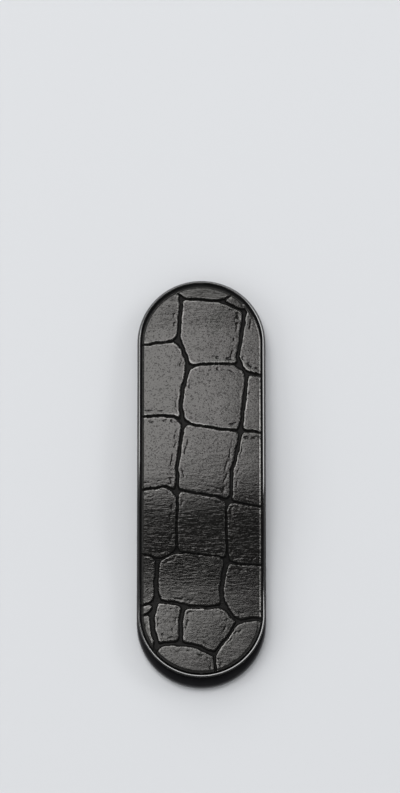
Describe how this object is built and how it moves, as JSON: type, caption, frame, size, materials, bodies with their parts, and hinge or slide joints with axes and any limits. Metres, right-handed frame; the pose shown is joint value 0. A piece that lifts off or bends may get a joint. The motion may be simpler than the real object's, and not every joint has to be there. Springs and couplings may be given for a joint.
{
  "type": "stick-on finger grip",
  "caption": "Slim stick-on grip for the back of a handset: a leather-faced flexible band on a rail base, which slides up at one end and rises into a finger loop.",
  "frame": {"origin": "middle of the stuck face, on the underside of the foam pad", "axes": "+Y along the grip towards the fixed head, +Z away from the stuck face, +X to the right"},
  "size_m": [0.0256, 0.0824, 0.0059],
  "materials": {
    "foam": "matte closed-cell foam",
    "plate_steel": "rolled",
    "gloss_black": "gloss",
    "screw_steel": "plated",
    "shoe_plastic": "satin",
    "band_black": "semi-gloss elastomer",
    "croc_leather": "glazed, crocodile-embossed"
  },
  "bodies": {
    "base": {"rail_base": "gloss_black", "adhesive_pad": "foam", "backing_plate": "plate_steel", "anchor_screws": "screw_steel", "band_head": "band_black", "leather_head": "croc_leather"},
    "upper_ramp": {"band_upper_ramp": "band_black", "leather_upper_ramp": "croc_leather"},
    "bridge": {"band_bridge": "band_black", "leather_bridge": "croc_leather"},
    "lower_ramp": {"band_lower_ramp": "band_black", "leather_lower_ramp": "croc_leather"},
    "foot": {"band_foot": "band_black", "leather_foot": "croc_leather", "slide_shoe": "shoe_plastic", "shoe_screws": "screw_steel"}
  },
  "joints": [
    {"name": "band_lift", "type": "hinge", "parent": "base", "child": "upper_ramp", "pos_m": [0, 0.031, 0.00455], "axis": [-1, 0, 0], "range_deg": [-4, 54]},
    {"name": "upper_bend", "type": "hinge", "parent": "upper_ramp", "child": "bridge", "pos_m": [0, 0.01098, 0.005], "axis": [-1, 0, 0], "range_deg": [-54, 4]},
    {"name": "lower_bend", "type": "hinge", "parent": "bridge", "child": "lower_ramp", "pos_m": [0, -0.00202, 0.005], "axis": [-1, 0, 0], "range_deg": [-54, 4]},
    {"name": "foot_bend", "type": "hinge", "parent": "lower_ramp", "child": "foot", "pos_m": [0, -0.02204, 0.00455], "axis": [-1, 0, 0], "range_deg": [-4, 54]}
  ],
  "couplings": [
    {"joint": "upper_bend", "follows": "band_lift", "ratio": -1},
    {"joint": "lower_bend", "follows": "band_lift", "ratio": -1},
    {"joint": "foot_bend", "follows": "band_lift", "ratio": 1}
  ]
}
